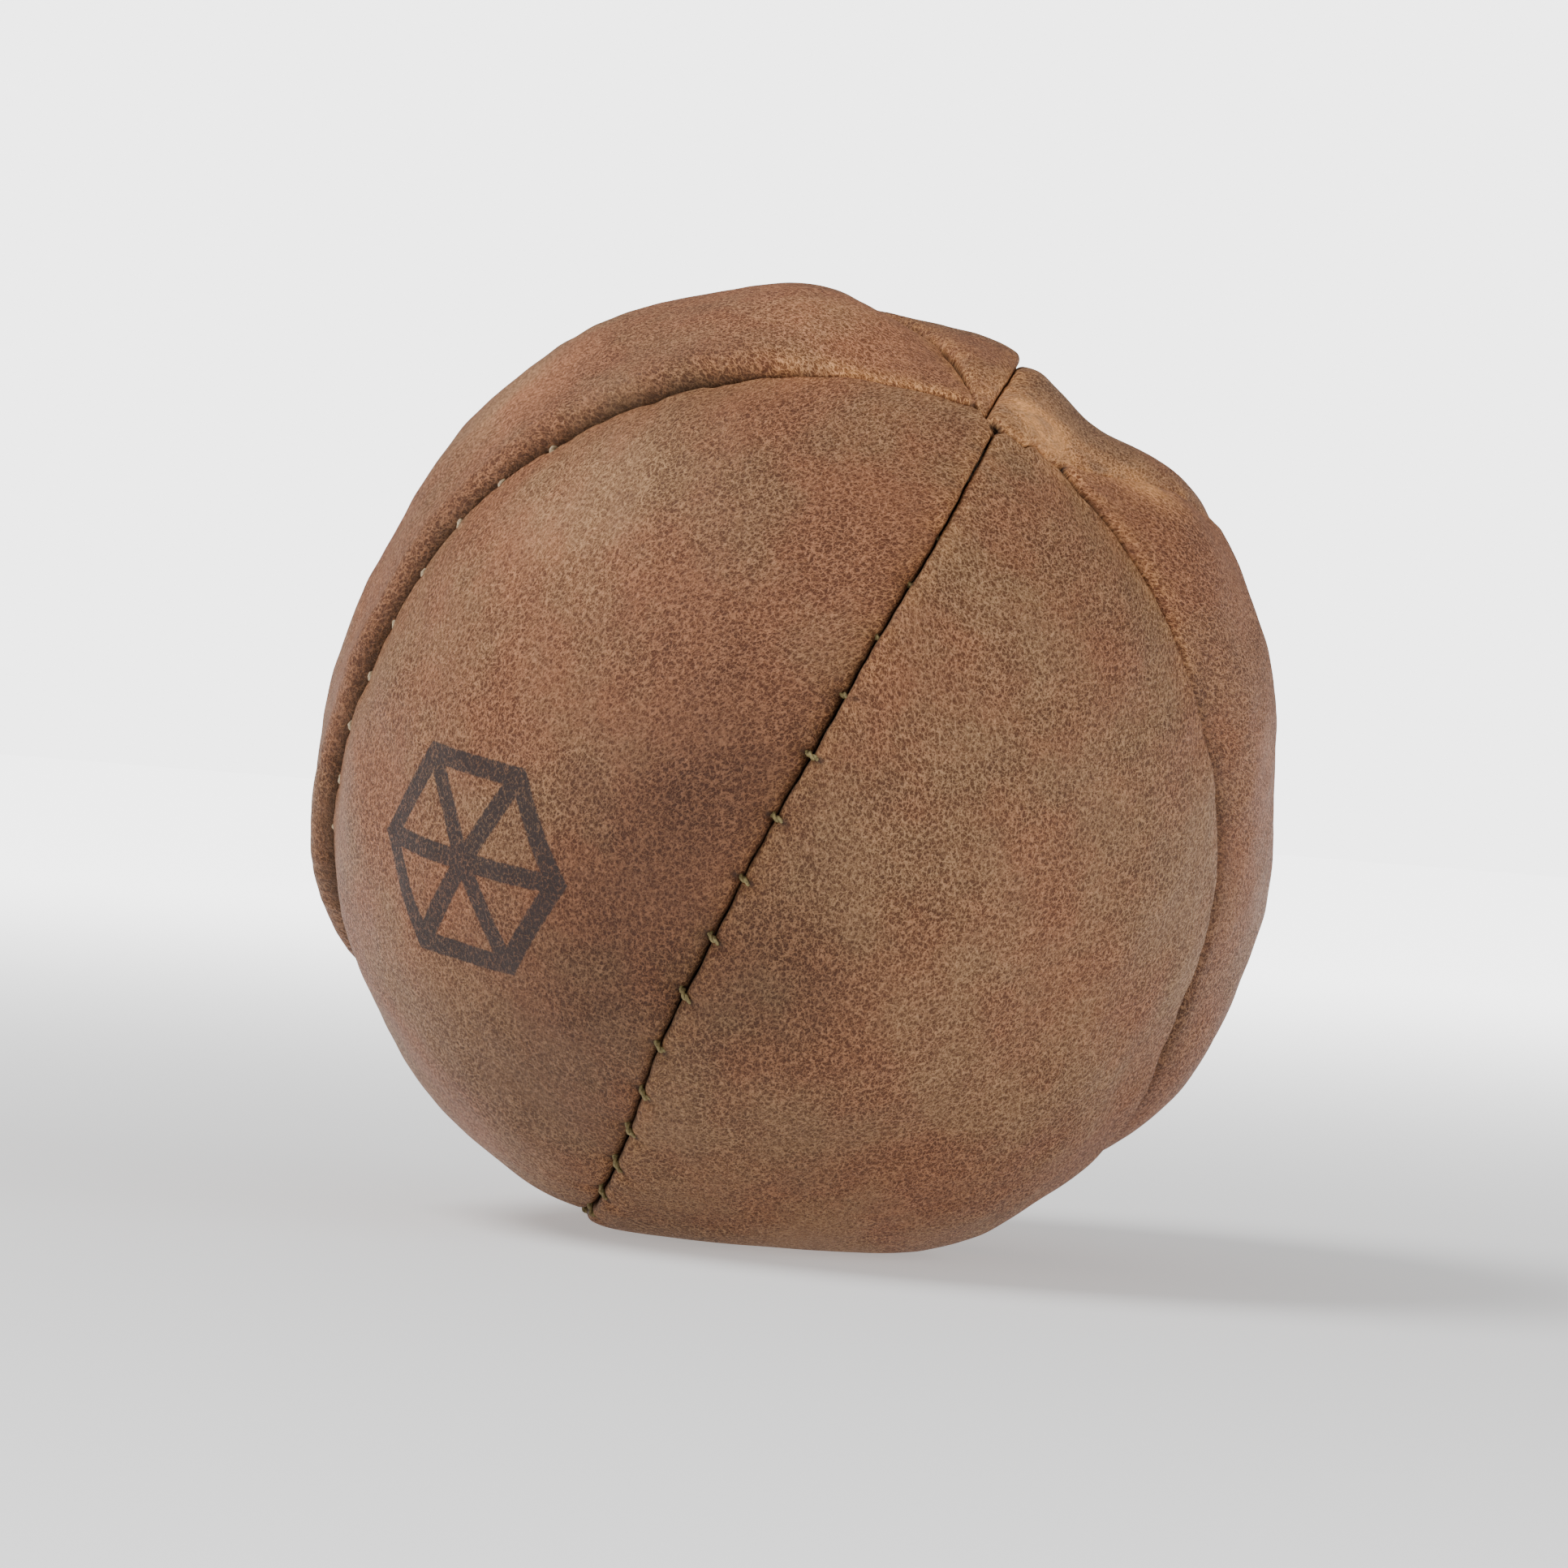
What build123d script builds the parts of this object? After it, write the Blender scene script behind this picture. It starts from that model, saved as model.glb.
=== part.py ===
"""A hand-sized leather medicine ball: six sewn leather panels round a tied cotton bag of sand.

Units are millimetres. +Z is up. The origin is the middle of the flat patch that the ball rests on,
and the ball's centre is straight above it. The panels run from pole to pole like the slices of an
orange. The pole axis leans, as the ball lies after it has been set down, and longitude is measured
round it, from the meridian that faces the front (-Y), anticlockwise seen from the upper pole.

Each panel is cut flat, sewn to its neighbours inside out and then turned, so its edges roll over
into the seam and run inwards as flanges, back to back with the next panel's. The thread passes
through both flanges just under the roll.
"""

from build123d import *
from math import cos, radians, sin, sqrt, tan
import os

# Driving dimensions
ball_radius = 33.0  # centre to the crown of a panel
seam_radius = 32.45  # centre to a panel's surface where it meets a seam
rest_patch_radius = 9.0  # the flat patch where the soft ball stands
leather = 1.6
seam_gap = 0.4  # between the facing flanges of two panels
edge_roll = 1.6  # radius of a panel's edge as it turns into the seam
flange_depth = 5.5  # crown to the flange's inner edge
pole_lean = 42.5  # degrees from vertical
pole_heading = -59.4  # degrees from +X
seam_longitudes = [1, 70, 131, 183, 230, 294]  # degrees; cut by hand, so uneven

thread_radius = 0.3
thread_bend = 0.5  # centreline radius where the thread turns into a hole
thread_play = 0.05  # between a thread and the leather beside it
stitch_hole_radius = 0.42
stitch_depth = 1.9  # below the seam's surface
stitch_pitch = 7.9  # degrees of arc between stitches, about 4.5 mm at the crown
stitches_per_seam = 19
closing_stitch = 5  # first stitch of the closing thread, counted down the first seam
knot_radius = 0.7
knot_length = 1.0

cloth = 0.5  # thickness of the cotton bag
bag_clearance = 0.15  # between leather and bag
stitch_room = 1.5  # between a flange and the bag, where the thread runs
neck_well_radius = 5.0  # hollow in the bag's top, where its gathered neck stands
neck_well_depth = 4.0
neck_waist_rise = 2.6  # from the floor of the hollow up to the tie
neck_waist_radius = 1.8
neck_flare_radius = 3.4
tie_radius = 0.42
tie_knot_radius = 0.9

roll_shoulder_slope = 8.0  # degrees, from the rolled edge up to the panel's crown
tip_recess_radius = 4.2  # where the flanges are trimmed away round each pole
tip_recess_top = 30.3

# Derived sizes
half_gap = seam_gap / 2
core_radius = ball_radius - flange_depth
centre_height = sqrt(ball_radius**2 - rest_patch_radius**2)
stitch_radius = seam_radius - stitch_depth
flange_face = half_gap + leather
past_flange = flange_face + 0.2  # clears a flange, to cut the holes right through it
thread_run = flange_face + thread_radius + thread_play
lowest_stitch = leather + thread_radius + 3 * thread_play
bag_side = flange_face + stitch_room
reach = 2 * ball_radius  # longer than anything it has to cut

# The ball's own axes in the row frame
lean, heading = radians(pole_lean), radians(pole_heading)
centre = Vector(0, 0, centre_height)
pole = Vector(sin(lean) * cos(heading), sin(lean) * sin(heading), cos(lean))
front = Vector(0, -1, 0)
ball_plane = Plane(origin=centre, x_dir=front - pole * front.dot(pole), z_dir=pole)
seam_count = len(seam_longitudes)


def radial(longitude):
    """Unit vector from the pole axis towards a meridian."""
    angle = radians(longitude)
    return ball_plane.x_dir * cos(angle) + ball_plane.y_dir * sin(angle)


def meridian_plane(longitude):
    """Plane of a meridian: X towards the meridian, Y towards the upper pole."""
    outward = radial(longitude)
    return Plane(origin=centre, x_dir=outward, z_dir=outward.cross(pole))


def equator_plane(longitude):
    """Plane of the equator, with X towards a meridian."""
    return Plane(origin=centre, x_dir=radial(longitude), z_dir=pole)


def along(longitude):
    """Unit vector across a seam, towards greater longitude."""
    return pole.cross(radial(longitude))


def panel_span(index):
    """Middle longitude and half the angle between a panel's two seams."""
    start = seam_longitudes[index]
    end = seam_longitudes[(index + 1) % seam_count]
    if end <= start:
        end += 360
    return (start + end) / 2, (end - start) / 2


def ball_section(longitude, inset):
    """Half a disc on a meridian plane, the section of the ball moved in by inset."""
    radius = ball_radius - inset
    with BuildSketch(meridian_plane(longitude)) as section:
        with BuildLine():
            ThreePointArc((0, radius), (radius, 0), (0, -radius))
            Line((0, radius), (0, -radius))
        make_face()
    return section.sketch


def pocket(index, inset, side, floor):
    """The room behind a panel: the ball moved in by inset, between planes side away from the
    panel's seams, and above floor."""
    middle, half_angle = panel_span(index)
    tip = side / sin(radians(half_angle))
    far_x = tip + reach * cos(radians(half_angle))
    far_y = reach * sin(radians(half_angle))
    with BuildPart() as body:
        revolve(ball_section(middle + 180, inset), axis=Axis(centre, pole))
        with BuildSketch(equator_plane(middle)):
            with BuildLine():
                Polyline((tip, 0), (far_x, far_y), (far_x, -far_y), close=True)
            make_face()
        extrude(amount=reach, both=True, mode=Mode.INTERSECT)
        split(bisect_by=Plane.XY.offset(floor), keep=Keep.TOP)
    return body.part


def rolled_side(longitude, side):
    """Everything on one side of a seam, with the rim rounded over as the leather rolls into it."""
    normal = along(longitude) * side
    shoulder = half_gap + edge_roll
    far_height = seam_radius + reach * tan(radians(roll_shoulder_slope))
    with BuildPart() as body:
        with BuildSketch(Plane(origin=centre, x_dir=normal, z_dir=normal.cross(pole))):
            with BuildLine():
                roll = CenterArc((shoulder, seam_radius - edge_roll), edge_roll, 90, 90)
                Polyline(
                    roll @ 0,
                    (shoulder + reach, far_height),
                    (shoulder + reach, 0),
                    (half_gap, 0),
                    roll @ 1,
                )
            make_face()
        revolve(axis=Axis(centre, normal))
    return body.part


def stitch_angles():
    """Angles of the stitches from the seam's equator, from the upper pole down."""
    middle = (stitches_per_seam - 1) / 2
    return [(middle - i) * stitch_pitch for i in range(stitches_per_seam)]


def stitch_direction(longitude, angle):
    """Unit vector from the ball's centre to a stitch."""
    turn = radians(angle)
    return radial(longitude) * cos(turn) + pole * sin(turn)


def stitch_distance(longitude, angle):
    """How far a stitch is from the ball's centre: less where the rest patch presses a seam in."""
    drop = max(-stitch_direction(longitude, angle).Z, 0.01)
    side_drop = thread_run * abs(along(longitude).Z)
    return min(stitch_radius, (centre_height - lowest_stitch - side_drop) / drop)


def stitch_point(longitude, angle):
    """Where a stitch crosses its seam plane."""
    return centre + stitch_direction(longitude, angle) * stitch_distance(longitude, angle)


def stitch_holes(longitude):
    """Outlines of a seam's row of holes, on the seam plane."""
    with BuildSketch(meridian_plane(longitude)) as holes:
        for angle in stitch_angles():
            distance = stitch_distance(longitude, angle)
            turn = radians(angle)
            with Locations((distance * cos(turn), distance * sin(turn))):
                Circle(stitch_hole_radius)
    return holes.sketch


def leather_panel(index):
    """One panel: skin, rolled edges and two flanges with their stitch holes."""
    first = seam_longitudes[index]
    second = seam_longitudes[(index + 1) % seam_count]
    hollow = pocket(index, leather, flange_face, leather)
    sides = [rolled_side(first, 1), rolled_side(second, -1)]
    with BuildPart() as panel:
        revolve(ball_section(first, 0), axis=Axis(centre, pole))
        for rolled in sides:
            add(rolled, mode=Mode.INTERSECT)
        split(bisect_by=Plane.XY, keep=Keep.TOP)
        add(hollow, mode=Mode.SUBTRACT)
        with Locations(centre):
            Sphere(core_radius, mode=Mode.SUBTRACT)
        with BuildSketch(ball_plane):
            Circle(tip_recess_radius)
        extrude(amount=tip_recess_top, both=True, mode=Mode.SUBTRACT)
        for longitude in (first, second):
            extrude(
                stitch_holes(longitude),
                amount=past_flange,
                both=True,
                mode=Mode.SUBTRACT,
            )
    return panel.part


def running_thread(longitude, first_stitch, last_stitch):
    """A thread that weaves through both flanges from one stitch to another, with end knots."""
    across = along(longitude)
    angles = stitch_angles()[first_stitch : last_stitch + 1]
    knot_offset = flange_face + knot_length
    side = -1
    points = []
    for angle in angles:
        here = stitch_point(longitude, angle)
        points.append(here + across * (side * thread_run))
        side = -side
        points.append(here + across * (side * thread_run))
    points[0] = stitch_point(longitude, angles[0]) - across * knot_offset
    points[-1] = stitch_point(longitude, angles[-1]) + across * (side * knot_offset)
    with BuildPart() as thread:
        with BuildLine() as route:
            FilletPolyline(*points, radius=thread_bend)
        with BuildSketch(Plane(origin=route.line @ 0, z_dir=route.line % 0)):
            Circle(thread_radius)
        sweep(path=route.line)
        for end, inward in ((points[0], route.line % 0), (points[-1], route.line % 1 * -1)):
            with BuildSketch(Plane(origin=end, z_dir=inward)):
                Circle(knot_radius)
            extrude(amount=knot_length)
    return thread.part


def bag_body(inset):
    """The bag's outside, or with an inset of its cloth's thickness its inside."""
    depth = leather + bag_clearance + inset
    pockets = [pocket(i, depth, bag_side + inset, depth) for i in range(seam_count)]
    with BuildPart() as body:
        with Locations(centre):
            Sphere(core_radius - 2 * bag_clearance - inset)
        for room in pockets:
            add(room)
        with BuildSketch(ball_plane.offset(core_radius - neck_well_depth - inset)):
            Circle(neck_well_radius + inset)
        extrude(amount=reach, mode=Mode.SUBTRACT)
    return body.part


# The panels and the threads of their seams
panels = []
threads = []
for index in range(seam_count):
    panel = leather_panel(index)
    panel.label = f"leather_panel_{index + 1}"
    panels.append(panel)

# The first seam's lower part is the one left open for filling, and is closed with its own thread.
last_stitch = stitches_per_seam - 1
for index, longitude in enumerate(seam_longitudes):
    end = closing_stitch - 1 if index == 0 else last_stitch
    thread = running_thread(longitude, 0, end)
    thread.label = f"seam_thread_{index + 1}"
    threads.append(thread)
closing = running_thread(seam_longitudes[0], closing_stitch, last_stitch)
closing.label = "closing_thread"
threads.append(closing)

# The cotton bag, its tied neck, and the sand in it
bag_outside = bag_body(0)
bag_inside = bag_body(cloth)
well_floor = core_radius - neck_well_depth
neck_foot = well_floor - cloth / 2
neck_waist = well_floor + neck_waist_rise
neck_top = tip_recess_top - bag_clearance

with BuildPart() as bag:
    add(bag_outside)
    add(bag_inside, mode=Mode.SUBTRACT)
    with BuildSketch(meridian_plane(0)):
        with BuildLine():
            gathers = Spline(
                (neck_flare_radius, neck_foot),
                (neck_waist_radius, neck_waist),
                (neck_flare_radius, neck_top),
                tangents=[(-1, 1), (1, 1.5)],
            )
            Polyline(gathers @ 1, (0, neck_top), (0, neck_foot), gathers @ 0)
        make_face()
    revolve(axis=Axis(centre, pole))
bag.part.label = "sand_bag"

tie_ring_radius = neck_waist_radius + tie_radius + 2 * thread_play
with BuildPart() as tie:
    for rise in (-0.7 * tie_radius, 0.7 * tie_radius):
        with BuildSketch(meridian_plane(0)):
            with Locations((tie_ring_radius, neck_waist + rise)):
                Circle(tie_radius)
        revolve(axis=Axis(centre, pole))
    knot_centre = (tie_ring_radius + tie_knot_radius, neck_waist, 0)
    with Locations(meridian_plane(0).from_local_coords(knot_centre)):
        Sphere(tie_knot_radius)
tie.part.label = "bag_tie"

with BuildPart() as sand:
    add(bag_body(cloth + thread_play))
sand.part.label = "sand_filling"

os.makedirs("parts", exist_ok=True)
for part in [*panels, *threads, bag.part, tie.part, sand.part]:
    export_step(part, f"parts/{part.label}.step")
    print(part.label, len(part.solids()), round(part.volume, 1), part.is_valid)
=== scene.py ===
"""The looks of a hand-sized leather medicine ball: six sewn gore panels and their threads.

Lengths are in millimetres until a mesh is made, and angles are in degrees. Longitude and latitude are
the ball's own, measured round its leaning pole axis: longitude 0 faces the front (-Y), and latitude 90
is the upper pole. Seam k of the list below is where leather_panel_k begins.
"""

from collections import namedtuple
import math

import bpy
import bmesh
from mathutils import Matrix, Vector
import numpy as np


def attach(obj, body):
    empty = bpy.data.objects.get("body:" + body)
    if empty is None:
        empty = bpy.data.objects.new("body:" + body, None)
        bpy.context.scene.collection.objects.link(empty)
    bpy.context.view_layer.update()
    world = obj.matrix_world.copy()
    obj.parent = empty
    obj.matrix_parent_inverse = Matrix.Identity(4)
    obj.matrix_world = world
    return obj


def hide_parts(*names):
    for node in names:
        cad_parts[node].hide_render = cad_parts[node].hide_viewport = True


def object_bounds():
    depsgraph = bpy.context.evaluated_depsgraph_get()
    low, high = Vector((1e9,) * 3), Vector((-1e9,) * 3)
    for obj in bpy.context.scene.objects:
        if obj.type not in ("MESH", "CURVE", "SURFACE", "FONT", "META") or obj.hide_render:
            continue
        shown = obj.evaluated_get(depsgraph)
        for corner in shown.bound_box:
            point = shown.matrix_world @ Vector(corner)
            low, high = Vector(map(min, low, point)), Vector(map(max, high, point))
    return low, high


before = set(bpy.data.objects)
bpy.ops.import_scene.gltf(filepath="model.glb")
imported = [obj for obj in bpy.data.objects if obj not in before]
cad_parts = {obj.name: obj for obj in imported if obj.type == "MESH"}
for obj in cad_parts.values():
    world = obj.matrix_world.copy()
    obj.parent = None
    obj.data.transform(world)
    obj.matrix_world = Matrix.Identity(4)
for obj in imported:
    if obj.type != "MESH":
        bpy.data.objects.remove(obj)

cad_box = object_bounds()
MM = 0.001

# ----------------------------------------------------------
# The ball's own axes
# ----------------------------------------------------------
BALL_RADIUS = (cad_box[1].x - cad_box[0].x) / 2 / MM
CENTRE = np.array([0.0, 0.0, cad_box[1].z / MM - BALL_RADIUS])
POLE_LEAN = 42.5
POLE_HEADING = -59.4
CAMERA_ROLL = 4.5


def unit(vector):
    return vector / np.linalg.norm(vector)


lean, heading = math.radians(POLE_LEAN), math.radians(POLE_HEADING)
POLE = np.array([
    math.sin(lean) * math.cos(heading),
    math.sin(lean) * math.sin(heading),
    math.cos(lean),
])
FRONT = np.array([0.0, -1.0, 0.0])
EAST_0 = unit(FRONT - POLE * FRONT.dot(POLE))
EAST_90 = np.cross(POLE, EAST_0)
roll = math.radians(CAMERA_ROLL)
VIEW_RIGHT = np.array([math.cos(roll), 0.0, math.sin(roll)])
VIEW_UP = np.array([-math.sin(roll), 0.0, math.cos(roll)])


def directions(longitude, latitude):
    """Unit vectors from the ball's centre."""
    lon, lat = np.radians(longitude), np.radians(latitude)
    across = np.cos(lon)[..., None] * EAST_0 + np.sin(lon)[..., None] * EAST_90
    return np.cos(lat)[..., None] * across + np.sin(lat)[..., None] * POLE


def from_front(clock, towards):
    """The direction that shows at a clock angle round the front view's rim, or nearer the viewer."""
    around, out = math.radians(clock), math.radians(towards)
    rim = math.cos(around) * VIEW_RIGHT + math.sin(around) * VIEW_UP
    return math.cos(out) * rim + math.sin(out) * FRONT


def seen_angles(towards):
    """Clock angles round the front view, and degrees towards the viewer from its rim."""
    clock = np.degrees(np.arctan2(towards @ VIEW_UP, towards @ VIEW_RIGHT))
    return clock, np.degrees(np.arcsin(np.clip(towards @ FRONT, -1, 1)))


def falling(distance, reach):
    return np.exp(-((distance / reach) ** 2))


def smooth_step(low, high, value):
    share = np.clip((value - low) / (high - low), 0.0, 1.0)
    return share * share * (3 - 2 * share)


# ----------------------------------------------------------
# Seams
# ----------------------------------------------------------
# path: its longitude is heading + tilt sin(latitude) + sway cos(latitude), it passes the upper pole at
# a distance of miss, and below the equator it swings by bend. opening: it lies open below one latitude
# and shut above another, with its width in each state. crest: the ridge where it is shut. before and
# after: how the two panels end at it, as the radius of the edge's roll, how far the edge stands up, how
# worn it is high up and low down, and how much shade is painted beside the edge where the seam lies
# open. stitches: one stitch's latitude, their pitch in degrees, their depth, and how hard they pull.
Seam = namedtuple("Seam", "path opening crest before after stitches")
Path = namedtuple("Path", "heading tilt sway miss bend")
Opening = namedtuple("Opening", "open_from shut_from width shut_width")
Edge = namedtuple("Edge", "roll lift wear_high wear_low shade")
Stitches = namedtuple("Stitches", "latitude pitch depth pull")
SEAMS = [
    Seam(
        Path(5.3, -3.3, -4.0, 0.1, 2.4),
        Opening(60, 82, 0.08, 0.14),
        0.0,
        Edge(0.7, -0.15, 0.5, 0.35, 0.1),
        Edge(0.5, 0.28, 0.3, 0.35, 0.0),
        Stitches(38.1, 8.0, 0.3, 1.0),
    ),
    Seam(
        Path(62.7, -0.1, 6.4, 3.3, 0.0),
        Opening(38, 60, 0.45, 0.02),
        0.2,
        Edge(0.6, 0.35, 0.4, 0.1, 0.0),
        Edge(1.5, -0.4, 0.5, 0.2, 0.5),
        Stitches(45.7, 8.0, 1.3, 0.2),
    ),
    Seam(
        Path(126.6, 4.1, 9.5, -2.5, 0.0),
        Opening(15, 45, 0.4, 0.02),
        0.1,
        Edge(1.2, 0.0, 0.4, 0.3, 0.0),
        Edge(1.5, 0.1, 0.9, 0.6, 0.0),
        Stitches(58.0, 8.0, 1.3, 0.35),
    ),
    Seam(
        Path(182.1, -1.9, -0.5, 0.8, 0.0),
        Opening(30, 62, 0.4, 0.06),
        0.0,
        Edge(1.1, 0.0, 0.9, 0.4, 0.0),
        Edge(1.2, 0.0, 0.6, 0.3, 0.0),
        Stitches(82.8, 8.0, 1.2, 0.6),
    ),
    Seam(
        Path(206.3, -6.8, 14.9, 1.3, 0.0),
        Opening(40, 66, 0.4, 0.1),
        0.0,
        Edge(1.2, 0.0, 0.6, 0.3, 0.0),
        Edge(1.4, 0.0, 0.8, 0.3, 0.0),
        Stitches(80.6, 8.0, 1.3, 0.6),
    ),
    Seam(
        Path(298.5, -14.6, -1.3, -1.5, 0.0),
        Opening(50, 74, 0.4, 0.05),
        0.15,
        Edge(1.7, 0.8, 0.9, 0.1, 0.2),
        Edge(0.4, -0.4, 0.3, 0.15, 0.0),
        Stitches(42.3, 7.0, 0.6, 0.3),
    ),
]
PANEL_COUNT = len(SEAMS)
LAST_STITCH_LATITUDE = 78
SHUT_ROLL = 0.45
WOBBLE = 0.13
RAGGED = 0.05
LOWER_TILT = 0.6  # how much of a seam's tilt is left below the equator
STITCH_CLOSING = 0.8  # how nearly a full pull shuts the opening


def seam_longitude(index, latitude):
    """Where a seam lies, before it meets a neighbour near the pole."""
    seam = SEAMS[index].path
    sine = np.sin(np.radians(latitude))
    level = np.where(sine > 0, sine, LOWER_TILT * np.tanh(sine / LOWER_TILT))
    girth = np.maximum(BALL_RADIUS * np.cos(np.radians(latitude)), 0.05)
    miss = seam.miss * smooth_step(0, 40, latitude)
    passing = np.degrees(np.arcsin(np.clip(miss / girth, -1, 1)))
    sway = seam.sway * np.cos(np.radians(np.maximum(latitude, 0)))
    wobble = WOBBLE * np.sin(latitude / 6.1 + index) * np.sin(latitude / 14.3 + 2 * index)
    wobble += RAGGED * np.sin(1.1 * latitude + index) * np.sin(0.43 * latitude)
    bend = seam.bend * smooth_step(0, -35, latitude)
    return seam.heading + seam.tilt * level + sway + passing + bend + np.degrees(wobble / (girth + 3))


def seam_pair(index, latitude):
    """A panel's two seams. Where they would cross near the pole, both follow the line between."""
    after = (index + 1) % PANEL_COUNT
    turn = 360 if after == 0 else 0
    return seam_between(index, latitude), seam_between(after, latitude) + turn


def seam_between(index, latitude):
    here = seam_longitude(index, latitude)
    before = seam_longitude((index - 1) % PANEL_COUNT, latitude)
    after = seam_longitude((index + 1) % PANEL_COUNT, latitude)
    before = np.where(before > here + 180, before - 360, before)
    after = np.where(after < here - 180, after + 360, after)
    here = np.where(before > here, (before + here) / 2, here)
    return np.where(after < here, (after + here) / 2, here)


def openness(index, latitude):
    """1 where a seam lies open, 0 where it is drawn shut. It shuts again at the lower pole."""
    opening = SEAMS[index].opening
    upper = 1 - smooth_step(opening.open_from, opening.shut_from, latitude)
    return upper * smooth_step(-89, -76, latitude)


def stitch_latitudes(index):
    """The latitudes of a seam's stitches, from the upper pole down."""
    stitches = SEAMS[index].stitches
    latitudes = stitches.latitude - np.arange(-24, 24) * stitches.pitch
    return latitudes[np.abs(latitudes) < LAST_STITCH_LATITUDE]


def stitch_pull(index, latitude, sharpness):
    """How hard the stitches draw the seam in: most at each stitch, and 0 halfway to the next."""
    stitches = SEAMS[index].stitches
    phase = (latitude - stitches.latitude) / stitches.pitch
    return stitches.pull * np.abs(np.cos(math.pi * phase)) ** sharpness


def half_gap(index, latitude):
    """Half the width of the opening between the two edges. Each stitch pulls it nearly shut."""
    opening = SEAMS[index].opening
    uneven = 1 + 0.25 * np.sin(latitude / 5.3 + 3 * index)
    uneven += 0.3 * np.sin(1.7 * latitude) * np.sin(0.7 * latitude)
    low_down = smooth_step(50, 20, latitude)
    closing = STITCH_CLOSING * low_down * stitch_pull(index, latitude, 8)
    open_width = opening.width * uneven * (1 - closing)
    share = openness(index, latitude)
    return (opening.shut_width + (open_width - opening.shut_width) * share) / 2


# ----------------------------------------------------------
# The ball's form
# ----------------------------------------------------------
# Hollows (negative) and swellings of the filled ball: clock angle round the front view, degrees
# towards the viewer from its rim, height in millimetres, and spread in degrees round the rim and
# across it.
SWELLS = [
    (49.5, 0, -2.0, 8, 28),
    (59.5, 0, 0.35, 2.5, 15),
    (16, 3, 0.4, 7, 20),
    (33, 5, 0.8, 10, 22),
    (72, 5, -1.0, 9, 20),
    (88, 5, 0.7, 8, 20),
    (110, 5, 0.5, 14, 18),
    (150, 0, -1.1, 11, 18),
    (188, 5, 0.6, 14, 18),
    (245, 8, 1.15, 12, 14),
    (290, 10, 1.2, 15, 16),
    (322, 5, 1.15, 14, 16),
    (357, 0, -0.9, 9, 22),
    (265, 55, 0.3, 16, 16),
    (90, -55, 0.4, 20, 20),
    (20, -50, -0.5, 16, 16),
    (160, -45, -0.5, 18, 18),
    (250, -50, 0.35, 18, 18),
    (330, -40, -0.4, 15, 15),
]
VALLEY_DEPTH = 0.95
VALLEY_POWER = 2.4
VALLEY_HALF_WIDTH = 9.0  # a panel narrower than twice this has shallower valleys
POLE_SINK = 0.9
POLE_SINK_REACH = 9.0
BASE_SOFTNESS = 0.5
BASE_SOFT_HEIGHT = 6
WAVES_PER_LAYER = 28
UNDULATIONS = [(17.0, 0.16), (7.0, 0.055), (2.6, 0.016)]


def waves(points, wavelength, seed):
    """A smooth random field over points, of about unit size, from seeded plane waves."""
    chance = np.random.default_rng(seed)
    total = np.zeros(len(points))
    for _ in range(WAVES_PER_LAYER):
        direction = unit(chance.normal(size=3))
        length = wavelength * chance.uniform(0.75, 1.4)
        shift = chance.uniform(0, 2 * math.pi)
        total += np.cos(points @ direction * (2 * math.pi / length) + shift)
    return total / math.sqrt(WAVES_PER_LAYER / 2)


def panel_seed(index):
    """Each panel is stretched in its own way."""
    return 7 * index + 3


def filled_radius(towards, seed):
    """Distance from the centre to the ball's smooth form, before seams."""
    radius = np.full(len(towards), BALL_RADIUS)
    clock_angle, out_angle = seen_angles(towards)
    for clock, out, height, spread, reach in SWELLS:
        turn = (clock_angle - clock + 180) % 360 - 180
        turn = turn * np.cos(np.radians(out_angle))
        radius += height * np.exp(-((turn / spread) ** 2) - ((out_angle - out) / reach) ** 2)
    from_pole = BALL_RADIUS * np.arccos(np.clip(np.abs(towards @ POLE), -1, 1))
    radius -= POLE_SINK * falling(from_pole, POLE_SINK_REACH)
    for layer, (wavelength, height) in enumerate(UNDULATIONS):
        radius += height * waves(towards * BALL_RADIUS, wavelength, seed + 100 * layer)
    return radius


def settled(points):
    """Presses the ball down on the floor, with a soft rim round the flat patch."""
    height = points[:, 2]
    soft = (height + np.sqrt(height**2 + BASE_SOFTNESS**2)) / 2
    points[:, 2] = np.where(height < BASE_SOFT_HEIGHT, soft, height)
    return points


# ----------------------------------------------------------
# Leather panels
# ----------------------------------------------------------
LEATHER = 1.6
FLANGE_DEPTH = 5.5
CORE_RADIUS = BALL_RADIUS - FLANGE_DEPTH
NECK_TOP = 30.1
FLESH_INSET = 0.25
SHUT_SHADOW = 0.4
ROLL_STEPS = 9
MIDDLE_COLUMNS = 101
EDGE_CROWDING = 0.35
ROW_PITCH = 0.2
INNER_STRIDE = 4
NARROWEST_PANEL = 0.45
NARROWEST_FLESH = 2 * LEATHER + 1.6
FLANGE_LEVELS = (0.12, 0.3, 0.55, 0.8)
FLANGE_SHADE = 5.0
END_ROLL = 0.5
MOST_ROLL = 0.4  # share of a panel's width that one rolled edge may take

# How far from a panel's edge these reach, in millimetres: the standing edge, the crest, the wear and
# the painted shade. Each stitch leaves a hole, and dents of a depth and a reach.
LIFT_REACH = 3.0
CREST_REACH = 1.3
WEAR_REACH = 1.3
SHADE_REACH = 1.8
HOLE_FROM_EDGE = 0.5
HOLE_RADIUS = 0.3
STITCH_DENTS = ((0.28, 1.1), (0.07, 3.2))
SHUT_PULL = 0.35  # share of a stitch's pull that is left where the seam is shut


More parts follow.
